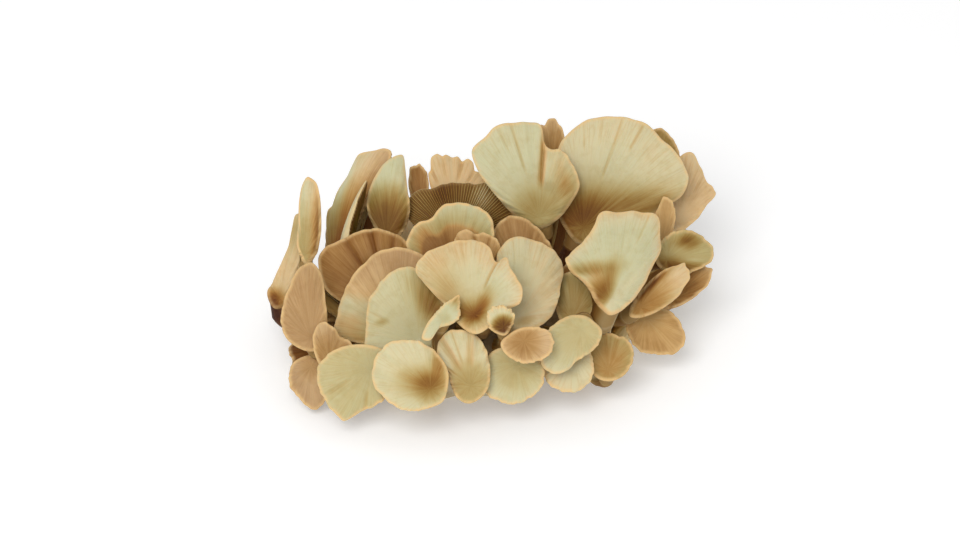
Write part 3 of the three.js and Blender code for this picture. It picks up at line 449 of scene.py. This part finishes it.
def capHeight(cap, x, y, angle, share):
    # Height of the smooth top: a funnel rising from the stem, an edge rolled down, waves that grow towards the
    # edge, frills, creases and folds that run out from the stem, and hollows.
    reach, seed, waves = cap["reach"], cap["seed"], cap["waves"]
    front = np.clip(1 - (np.abs(angle) / math.radians(growth["frontTop"])) ** 4, 0, 1)
    wave = (np.sin(waves * angle + tau * draw(seed, 4))
            + 0.5 * share * np.sin((2 * waves + 1) * angle + tau * draw(seed, 5)))
    out = np.hypot(x, y)
    z = (cap["funnel"] * (1 - np.exp(-(out / (growth["funnelWidth"] * reach)) ** 2))
         - cap["curl"] * share ** 5 + front * cap["wave"] * share ** 2 * wave)
    frill = cap["ruffle"] * share ** 7 * ripples(angle, seed, growth["frillWaves"], 6)
    pleat = ripples(angle, seed, growth["pleatWaves"], 9, 2 * share)
    pleat = growth["pleatHeight"] * smooth(share, 0.25, 0.9) * pleat
    z = z + front * reach * (frill + pleat)
    for degrees, begins, ends, depth, width in cap["creases"]:
        off, on = along(angle, out, degrees, begins, ends)
        z = z - on * depth * (hill(off, width) - crease["bank"] * hill(off, crease["bankWidth"] * width))
    for degrees, begins, ends, height in cap["folds"]:
        off, on = along(angle, out, degrees, begins, ends)
        raised = smooth(-off, -fold["step"], fold["step"]) * hill(np.minimum(off, 0), fold["rise"])
        sunk = fold["dip"] * smooth(off, -fold["step"], fold["step"]) * hill(off, fold["dipWidth"])
        z = z + on * height * (raised - sunk)
    for hollow in cap["hollows"]:
        z = z - hollow[5] * inHollow(x, y, hollow)
    return z


def capPaint(cap, x, y, angle, share):
    # Tone runs from the inner to the outer colour and leans from left to right; painted shade gathers as brown round
    # the stem, in creases, under folds and in hollows, with a painted highlight beside each crease and in some hollows.
    side = np.where(y > 0, y / cap["left"], y / cap["right"])
    out = np.hypot(x, y)
    tone = mixed(*cap["tone"], smooth(share, *cap["zone"])) - cap["tilt"] * side
    amount, farOut = cap["brown"]
    brown = amount * (1 - smooth(out / cap["reach"], 0.25 * farOut, farOut))
    # Painted shade in each crease, with a painted highlight on its lit side.
    for degrees, begins, ends, depth, width in cap["creases"]:
        off, on = along(angle, out, degrees, begins, ends)
        line = on * min(depth, 1) * (hill(off, width) - crease["bank"] * hill(off + crease["litSide"] * width, width))
        tone, brown = tone + crease["tone"] * line, brown + crease["brown"] * line
    # Painted shade at the foot of each fold.
    for degrees, begins, ends, height in cap["folds"]:
        off, on = along(angle, out, degrees, begins, ends)
        line = on * min(height, 1)
        tone = tone + line * (0.5 * hill(off + 0.6, 0.8) + 0.3 * hill(off - 1, 1.5))
        brown = brown + 0.4 * line * hill(off - 0.6, 1.0)
    for hollow in cap["hollows"]:
        near = inHollow(x, y, hollow)
        tone, brown = tone + hollow[6] * near, brown + hollow[7] * near
    return tone, np.maximum(brown, 0)


def grown(name, length):
    least, more = growth[name]
    return least + more * length


def growMushroom(node, seed):
    cap = {**mushrooms[node], "seed": seed}
    if "edge" in cap:
        across = [y for _, y in cap["edge"]]
        cap["left"], cap["right"] = max(across), -min(across)
    apex, tip = np.array(cap["stemTop"], float), np.array(cap["tip"], float)
    cap["reach"] = reach = float(np.linalg.norm(tip - apex))
    for size in ("core", "neck", "gillDepth", "funnel", "curl", "wave"):
        cap.setdefault(size, grown(size, reach))
    forward = (tip - apex) / reach
    face = unit(np.array(cap["face"], float))
    face = unit(face - face.dot(forward) * forward)
    turned = math.radians(cap["turn"])
    face = face * math.cos(turned) + np.cross(face, forward) * math.sin(turned)
    sideways = np.cross(face, forward)

    def place(x, y, z):
        return apex + x[..., None] * forward + y[..., None] * sideways + z[..., None] * face

    # The stem: a cubic curve from under the cap to its root, straight out of the pad.
    foot = np.array([*cap["root"], max(padTop(*cap["root"]) - growth["rootDepth"], growth["rootLowest"])])
    rise = unit(np.append(np.divide(cap["root"], growth["rootSplay"]), 1))
    start = apex - 0.75 * cap["neck"] * face
    length = float(np.linalg.norm(start - foot))
    lean = math.radians(growth["stemLean"])
    leave = -math.sin(lean) * forward - math.cos(lean) * face
    bendTop, bendFoot = growth["stemBend"]
    curve = np.array([start, start + bendTop * length * leave, foot + bendFoot * length * rise, foot])
    neckShare = min(0.35, 1.5 * cap["neck"] / length)

    # Columns: four points to each gill, all of them also on the smooth top.
    edgeLength = fanEdge(cap, np.zeros(1))[3]
    gills = int(np.clip(edgeLength / growth["gillSpacing"], growth["fewestGills"], growth["mostGills"]))
    gill = np.arange(gills)
    apart = gill + growth["gillJitter"] * (draw(seed + 0.7, gill) - 0.5)
    where = ((apart[:, None] + gillPhase) / gills % 1).ravel()
    x, y, angle, _ = fanEdge(cap, where)
    radius = np.hypot(x, y)
    ahead = unit(np.stack((np.roll(x, -1) - np.roll(x, 1), np.roll(y, -1) - np.roll(y, 1)), 1))
    square = np.abs(x * ahead[:, 1] - y * ahead[:, 0]) / radius  # 1 where the edge runs square to the radius
    gillHeight = np.tile(gillProfile, gills)
    shortest, spread = growth["gillLength"]  # every other gill stops short
    reachIn = np.repeat(np.where(gill % 2 == 0, 1.0, shortest + spread * draw(seed + 0.5, gill)), len(gillPhase))
    turnRound = edgeLength / tau * np.stack((np.cos(tau * where), np.sin(tau * where)), 1)
    every, second, fourth = slice(None), slice(0, None, 2), slice(0, None, 4)

    def flow(run, columns=every):  # round the mushroom and along the run of its flesh, in mm
        run = np.broadcast_to(run, (len(run), len(turnRound[columns])))[..., None]
        return np.concatenate((np.broadcast_to(turnRound[columns], (*run.shape[:2], 2)), run), -1)

    def stemRing(share, ridges):
        # Centre on the curve, with the radius narrowing downwards, faint lengthwise flutes and a flare at the pad.
        s = share[:, None]
        weights = np.stack(((1 - s) ** 3, 3 * s * (1 - s) ** 2, 3 * s * s * (1 - s), s ** 3), 0)
        slopes = np.stack((-3 * (1 - s) ** 2, 3 * (1 - s) ** 2 - 6 * s * (1 - s), 6 * s * (1 - s) - 3 * s * s,
                           3 * s * s), 0)
        centre = (weights * curve[:, None, :]).sum(0)
        tangent = unit((slopes * curve[:, None, :]).sum(0))
        side = unit(sideways - tangent * (tangent @ sideways)[:, None])
        front = np.cross(tangent, side)
        above = (1 - s) * length - growth["rootDepth"]
        wide = cap["neck"] * (mixed(1, growth["stemTaper"], smooth(s, 0, 0.7)) + 0.1 * smooth(s, 0.75, 1)
                              + growth["stemFlare"] * (1 - smooth(above, *growth["flareHeight"])))
        settle = smooth(s, neckShare, neckShare + 0.2)
        flute = (0.045 * np.sin(5 * angle + tau * draw(seed, 21) + 2 * s) + 0.03 * np.sin(9 * angle - 3 * s)
                 + 0.02 * np.sin(14 * angle + 5 * s + tau * draw(seed, 22)))
        lump = 0.05 * np.sin(7 * s + tau * draw(seed, 23)) + 0.03 * np.sin(17 * s + tau * draw(seed, 24))
        wide = wide * (1 + settle * (flute + lump)) + ridges
        return (centre[:, None] + front[:, None] * (wide * np.cos(angle))[..., None]
                + side[:, None] * (wide * np.sin(angle))[..., None])

    skin = Skin()
    middle = [np.zeros((1, 1))] * 4
    tone, brown = capPaint(cap, *middle)
    skin.lay(place(*middle[:2], capHeight(cap, *middle)), tone=tone, brown=brown)

    # The top, with fewer points to a ring near the stem, where the columns crowd.
    topCount, underCount = int(grown("topRings", reach)), int(grown("underRings", reach))
    share = (1 - (1 - steps(topCount)) ** growth["topCrowd"])[:, None]
    inner = int((share < growth["coarseWithin"]).sum())
    for shares, columns in ((share[:inner], fourth), (share[inner:-1], second), (share[-1:], every)):
        tx, ty, ta = x[columns] * shares, y[columns] * shares, angle[columns] + 0 * shares
        topZ = capHeight(cap, tx, ty, ta, shares)
        top = place(tx, ty, topZ)
        tone, brown = capPaint(cap, tx, ty, ta, shares)
        fromEdge = (radius * square)[columns] * (1 - shares)
        skin.lay(top, flow(reach * shares, columns), tone=tone, brown=brown + growth["shade"] * depthIn(top),
                 rim=cap["rimGold"] * (1 - smooth(fromEdge, *growth["rimTop"])), streak=smooth(shares, 0.2, 0.9))
    lipOut, thin = 1 + growth["lip"] / radius, growth["edgeThickness"]
    skin.lay(place(tx * lipOut, ty * lipOut, topZ - growth["lipDrop"] * thin),
             flow(np.array([[reach]])), tone=tone, brown=brown, rim=cap["rimGold"], under=0.5)

    # The underside, with its gills, which run on down the neck as ribs.
    inwards = (np.arange(underCount) / (underCount - 1))[:, None] ** growth["underCrowd"]
    share = 1 - inwards * (1 - np.clip(0.9 * cap["neck"] / radius, 0.05, 0.9))
    thick = thin + (cap["core"] - thin) * np.maximum(1 - share ** 2, 0) ** 0.8
    front = np.clip(1 - (np.abs(angle) / math.radians(growth["frontUnder"])) ** 6, 0, 1)
    short = 1 - smooth(inwards, reachIn - 0.12, reachIn + 0.02)
    fade = (0.25 + 0.75 * smooth(inwards, 0, 0.2)) * (1 - 0.75 * smooth(inwards, 0.6, 1)) * short
    ridge = cap["gillDepth"] * fade * front * gillHeight
    ux, uy = x * share, y * share
    uz = capHeight(cap, ux, uy, angle + 0 * share, share) - thick - ridge
    neckRidge = 0.25 * cap["gillDepth"] * gillHeight * front * (reachIn > 0.99)
    behind = smooth(np.abs(angle) / math.pi, 0.55, 1)
    blend = smooth((inwards - 0.5 * (1 - behind)) / (1 - 0.5 * (1 - behind)))
    under = mixed(place(ux, uy, uz), stemRing(np.array([neckShare]), neckRidge), blend[..., None])
    fromEdge = np.linalg.norm(under - under[:1], axis=-1)
    # Painted shade on the gills: the cap's own amount plus its hollows' browning.
    aged = cap["underBrown"] + sum(hollow[7] * inHollow(ux, uy, hollow) for hollow in cap["hollows"])
    skin.lay(under, flow(reach * (2 - share)), tone=tone, brown=aged + growth["shadeUnder"] * depthIn(under),
             rim=cap["rimGold"] * (1 - smooth(fromEdge, *growth["rimBelow"])), stalk=0.25 * smooth(inwards, 0.6, 1),
             crest=gillHeight * short * front * (0.4 + 0.6 * smooth(inwards, 0, 0.15)), under=1.0)

    ribs = neckShare + (1 - neckShare) * growth["ribs"] * steps(growth["ribRings"])
    stalk = mixed(ribs[-1], 1, steps(int(grown("stemRings", length))))
    for shares, columns in ((ribs, every), (stalk, fourth)):
        fade = 1 - smooth(shares, neckShare, ribs[-1])[:, None]
        rings = stemRing(shares, neckRidge * fade)[:, columns]
        behind = smooth(-np.cos(angle[columns]), *growth["backToFront"])
        # Painted shade on the stem's back, under the cap, fading downwards.
        aged = cap["stemBrown"] * (1 - 0.7 * smooth(shares, 0.4, 1))[:, None] * behind
        skin.lay(rings, flow((2 * reach + length * (shares - neckShare))[:, None], columns), tone=0.2, under=1.0,
                 brown=0.5 * cap["underBrown"] + growth["shadeStem"] * depthIn(rings) + aged,
                 crest=(gillHeight * (neckRidge > 0) * fade)[:, columns],
                 stalk=0.25 + 0.75 * smooth(shares[:, None], neckShare, 0.9))
    skin.lay(foot[None, None], tone=0.2, under=1.0, stalk=1.0)
    words = node.split("_")
    return skin.close(words[0] + "".join(w.capitalize() for w in words[1:])), cap["tint"]


class Wire:  # a socket that plain arithmetic adds Math nodes to
    def __init__(self, sheet, socket):
        self.sheet, self.socket = sheet, socket

    def math(self, operation, a, b):
        return self.sheet.add("ShaderNodeMath", {"operation": operation}, {0: a, 1: b})

    def __add__(self, other): return self.math("ADD", self, other)
    def __sub__(self, other): return self.math("SUBTRACT", self, other)
    def __mul__(self, other): return self.math("MULTIPLY", self, other)
    def __rpow__(self, other): return self.math("POWER", other, self)
    __radd__, __rmul__ = __add__, __mul__

    def span(self, low, high):  # 0 at low, 1 at high, eased
        return self.sheet.add("ShaderNodeMapRange", {"interpolation_type": "SMOOTHSTEP"},
                              {"Value": self, "From Min": low, "From Max": high})


class Sheet:  # one material's nodes
    def __init__(self, name):
        self.material = bpy.data.materials.new(name)
        self.material.use_nodes = True
        self.nodes, self.links = self.material.node_tree.nodes, self.material.node_tree.links
        self.nodes.clear()

    def add(self, kind, settings, sockets, output=0):
        node = self.nodes.new(kind)
        for setting, value in settings.items():
            if setting == "stops":
                ramp = node.color_ramp
                while len(ramp.elements) < len(value):
                    ramp.elements.new(0.5)
                for element, (place, colour) in zip(ramp.elements, value):
                    element.position, element.color = place, (*colour, 1)
            else:
                setattr(node, setting, value)
        for socket, value in sockets.items():
            if isinstance(value, Wire):
                self.links.new(value.socket, node.inputs[socket])
            elif node.inputs[socket].type == "RGBA":
                node.inputs[socket].default_value = (*value, 1)
            else:
                node.inputs[socket].default_value = value
        return Wire(self, node.outputs[output]) if node.outputs else node

    def mark(self, name, output="Fac"):
        return self.add("ShaderNodeAttribute", {"attribute_name": name}, {}, output)

    def noise(self, where, scale, detail, rough, stretch=(1, 1, 1)):
        spread = self.add("ShaderNodeVectorMath", {"operation": "MULTIPLY"}, {0: where, 1: stretch})
        return self.add("ShaderNodeTexNoise", {},
                        {"Vector": spread, "Scale": scale, "Detail": detail, "Roughness": rough})

    def mix(self, share, a, b, blend="MIX"):
        return self.add("ShaderNodeMix", {"data_type": "RGBA", "blend_type": blend, "clamp_factor": True},
                        {0: share, 6: a, 7: b}, 2)

    def finish(self, sockets):
        shader = self.add("ShaderNodeBsdfPrincipled", {}, sockets)
        self.add("ShaderNodeOutputMaterial", {}, {"Surface": shader})
        return self.material


flesh = {
    "tones": ((0, screen(199, 195, 155)), (0.35, screen(211, 199, 158)), (0.65, screen(218, 186, 138)),
              (1, screen(186, 151, 108))),  # green cream, cream, peach, pinkish tan
    "brownPasses": (0.35, 0.19, 0.045),  # light left by one layer of brown, the painted shade
    "rim": screen(228, 192, 134), "gillCrest": screen(218, 204, 160), "gillValleyShade": screen(150, 122, 74),
    "stem": screen(228, 214, 176), "roughness": 0.62,
    # noises: scale, detail, roughness and, where they run out from the stem, how far they are drawn out
    "fine": (1.5, 4, 0.6, (1, 1, 0.07)), "wide": (0.32, 3, 0.5, (1, 1, 0.12)),
    "patch": (45, 3, 0.5), "grain": (900, 4, 0.6), "mottle": (210, 4, 0.6),
    # what the streaks, the mottling, the gills' patches and the stem's streaks take from the colour below
    "streakTint": (0.78, 0.71, 0.57), "mottleTint": (0.84, 0.77, 0.62), "gillTint": (0.80, 0.66, 0.42),
    "stemStreak": (0.70, 0.60, 0.38),
}


def fleshMaterial(name, warmth):
    sheet = Sheet(name)
    flow, own = sheet.mark("flow", "Vector"), sheet.add("ShaderNodeTexCoord", {}, {}, "Object")
    tone, brown, rim, streak, under, crest, stalk = (sheet.mark(mark) for mark in Skin.marks[:-1])
    fine, wide = (sheet.noise(flow, *flesh[noise]) for noise in ("fine", "wide"))
    patch, grain, mottle = (sheet.noise(own, *flesh[noise]) for noise in ("patch", "grain", "mottle"))
    shade = tone + warmth + 0.25 * (wide - 0.5) + 0.4 * (patch - 0.5) + 0.3 * streak * (fine - 0.5)
    colour = sheet.add("ShaderNodeValToRGB", {"stops": flesh["tones"]}, {"Fac": shade})
    colour = sheet.mix(0.3 * streak * fine.span(0.48, 0.64), colour, flesh["streakTint"], "MULTIPLY")
    colour = sheet.mix(0.35 * mottle.span(0.45, 0.68), colour, flesh["mottleTint"], "MULTIPLY")
    # Painted shade between the gills: the valleys darker than the crests.
    gills = sheet.mix(crest.span(0.0, 0.6), flesh["gillValleyShade"], flesh["gillCrest"])
    gills = sheet.mix(0.4 * patch, gills, flesh["gillTint"], "MULTIPLY")
    stem = sheet.mix(0.4 * fine.span(0.4, 0.7), flesh["stem"], flesh["stemStreak"])
    below = sheet.mix(stalk.span(0.15, 0.6), gills, stem)
    colour = sheet.mix(under.span(0.5, 1.0), colour, below)
    thick = brown * (1 + 0.6 * (fine - 0.5) + 0.5 * (patch - 0.5) + 0.9 * (wide - 0.5))  # layers of brown, the painted shade, on it
    passed = sheet.add("ShaderNodeCombineXYZ", {}, {i: share ** thick for i, share in enumerate(flesh["brownPasses"])})
    colour = sheet.mix(1.0, colour, passed, "MULTIPLY")
    colour = sheet.mix(0.8 * rim * (0.8 * wide + 0.5 * fine).span(0.35, 0.75), colour, flesh["rim"])
    relief = 0.5 * fine + 0.15 * grain + 0.5 * stalk * grain
    bump = sheet.add("ShaderNodeBump", {}, {"Height": relief, "Strength": 0.5, "Distance": 0.0006})
    rough = flesh["roughness"] + 0.25 * (patch - 0.5) + 0.1 * stalk
    return sheet.finish({
        "Base Color": colour, "Roughness": rough, "Normal": bump, "Specular IOR Level": 0.25,
        "Subsurface Weight": 0.15, "Subsurface Radius": (1.0, 0.6, 0.3), "Subsurface Scale": 0.002})


fleshes = {
    "cream": ("cap_cream", fleshMaterial("creamCapFlesh", 0.0)),
    "tan": ("cap_tan", fleshMaterial("tanCapFlesh", 0.03)),
    "pink": ("cap_pink", fleshMaterial("pinkCapFlesh", 0.05)),
    "brown": ("cap_brown", fleshMaterial("brownCapFlesh", 0.05)),
}
report("flesh materials made")

triangles = 0
for index, node in enumerate(mushrooms):
    piece, tint = growMushroom(node, index + 1)
    slot, material = fleshes[tint]
    piece.data.materials.append(material)
    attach(piece, "root")
    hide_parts(node)
    triangles += len(piece.data.polygons)
report(f"{len(mushrooms)} mushrooms grown, {triangles} triangles")


def growPad():
    # Rings from the top of the dome to its rim, down its side and over the cut face. The dome is the pad's plain
    # form with a low hump at each root and lumps that fade towards the rim.
    angle = tau * np.arange(pad["around"]) / pad["around"]
    plan = padFlute(np.arctan2(pad["halfWidth"] * np.sin(angle), pad["halfLength"] * np.cos(angle)))
    endwise, out = pad["halfLength"] * np.cos(angle) * plan, pad["halfWidth"] * np.sin(angle) * plan
    share = np.sin(0.5 * math.pi * steps(pad["rings"]))[:, None] * pad["domeShare"]
    x, y = endwise * share, out * share
    z = padTop(x, y)
    for row in mushrooms.values():
        rootX, rootY = row["root"]
        z = z + pad["humpHeight"] * hill(np.hypot(x - rootX, y - rootY), pad["humpWidth"]) * (1 - share ** 6)
    lumps = (np.sin(0.31 * x + 1.3) * np.sin(0.37 * y + 0.4) + 0.6 * np.sin(0.83 * x + 0.5 * y)
             + 0.4 * np.sin(1.7 * x - 1.1 * y + 2) * np.sin(1.3 * y + 0.9 * x))
    dome = np.stack((x, y, z + pad["lumps"] * lumps * (1 - share ** 4)), -1)
    skin = Skin()
    skin.lay(np.array([[[0, 0, padTop(0.0, 0.0)]]]), brown=pad["brown"])
    skin.lay(dome, brown=pad["brown"] * smooth(dome[..., 2], *pad["brownFrom"]))
    for scale, height, cut in pad["side"]:
        rough = 1 + (0.012 * np.sin(23 * angle + 3 * height) + 0.008 * np.sin(41 * angle)) * (scale > 0.9)
        ring = np.stack((endwise * scale * rough, out * scale * rough, np.full_like(angle, height)), -1)
        skin.lay(ring[None], cut=cut)
    skin.lay(np.zeros((1, 1, 3)), cut=1)
    return skin.close("base")


def padMaterial():
    sheet = Sheet("feltedTissue")
    own, cut, brown = sheet.add("ShaderNodeTexCoord", {}, {}, "Object"), sheet.mark("cut"), sheet.mark("brown")
    patch, felt, grain = sheet.noise(own, 60, 4, 0.6), sheet.noise(own, 260, 5, 0.65), sheet.noise(own, 1400, 4, 0.6)
    colour = sheet.mix(patch.span(0.35, 0.7), *pad["patches"])
    colour = sheet.mix(0.5 * felt.span(0.5, 0.75), colour, pad["felt"])
    # Painted shade: the pad browns up the dome, under the caps.
    colour = sheet.mix(brown + 0.6 * (patch - 0.5) * brown, colour, pad["aged"])
    colour = sheet.mix(0.7 * cut, colour, pad["cutFace"])
    bump = sheet.add("ShaderNodeBump", {}, {"Height": felt + 0.4 * grain, "Strength": 0.7, "Distance": 0.001})
    return sheet.finish({
        "Base Color": colour, "Roughness": pad["roughness"] + 0.1 * (felt - 0.5), "Normal": bump,
        "Specular IOR Level": 0.2})


base = growPad()
base.data.materials.append(padMaterial())
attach(base, "root")
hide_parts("base")
report("pad made")

studio = {
    "floorSize": 4.0, "floorColour": (0.92, 0.92, 0.92), "floorGlow": 0.2, "sky": 0.6,
    "key": 18.5, "keyPlace": (-0.7, -1.0, 1.5), "keySize": 1.0,
}


def makeStudio():
    half = studio["floorSize"] / 2
    mesh = bpy.data.meshes.new("floor")
    mesh.from_pydata([(-half, -half, 0), (half, -half, 0), (half, half, 0), (-half, half, 0)], [], [(0, 1, 2, 3)])
    floor = inScene("floor", mesh)
    mesh.materials.append(Sheet("paleFloor").finish({
        "Base Color": studio["floorColour"], "Roughness": 0.9, "Emission Color": (1, 1, 1),
        "Emission Strength": studio["floorGlow"]}))
    world = bpy.data.worlds.new("softWorld")
    world.use_nodes = True
    sky = world.node_tree.nodes["Background"].inputs
    sky["Color"].default_value, sky["Strength"].default_value = (1, 1, 1, 1), studio["sky"]
    bpy.context.scene.world = world
    lamp = bpy.data.lights.new("keyLight", "AREA")
    lamp.energy, lamp.size = studio["key"], studio["keySize"]
    key = inScene("keyLight", lamp)
    key.location = studio["keyPlace"]
    key.rotation_euler = (-key.location.normalized()).to_track_quat("-Z", "Y").to_euler()
    bpy.context.scene.view_settings.view_transform = "Standard"


view = {
    "azimuth": -17, "elevation": 38.5, "distance": 1.8, "pixelsPerMetre": 2500, "frameWidth": 960,
    "target": (0, 0, 0.04), "targetShift": (-0.0004, 0.0032), "sensor": 36, "farthest": 20,
}


def makeCamera():
    a, e = math.radians(view["azimuth"]), math.radians(view["elevation"])
    back = np.array([math.sin(a) * math.cos(e), -math.cos(a) * math.cos(e), math.sin(e)])
    right = np.array([math.cos(a), math.sin(a), 0])
    up = np.cross(back, right)
    aim = np.array(view["target"]) + view["targetShift"][0] * right + view["targetShift"][1] * up
    place = aim + back * view["distance"]
    lens = bpy.data.cameras.new("camera")
    lens.sensor_width, lens.clip_end = view["sensor"], view["farthest"]
    lens.lens = view["sensor"] * view["pixelsPerMetre"] * view["distance"] / view["frameWidth"]
    camera = inScene("camera", lens)
    matrix = np.eye(4)
    matrix[:3] = np.stack((right, up, back, place), 1)
    camera.matrix_world = [list(row) for row in matrix.T]
    bpy.context.scene.camera = camera


makeStudio()
makeCamera()
report("studio ready")
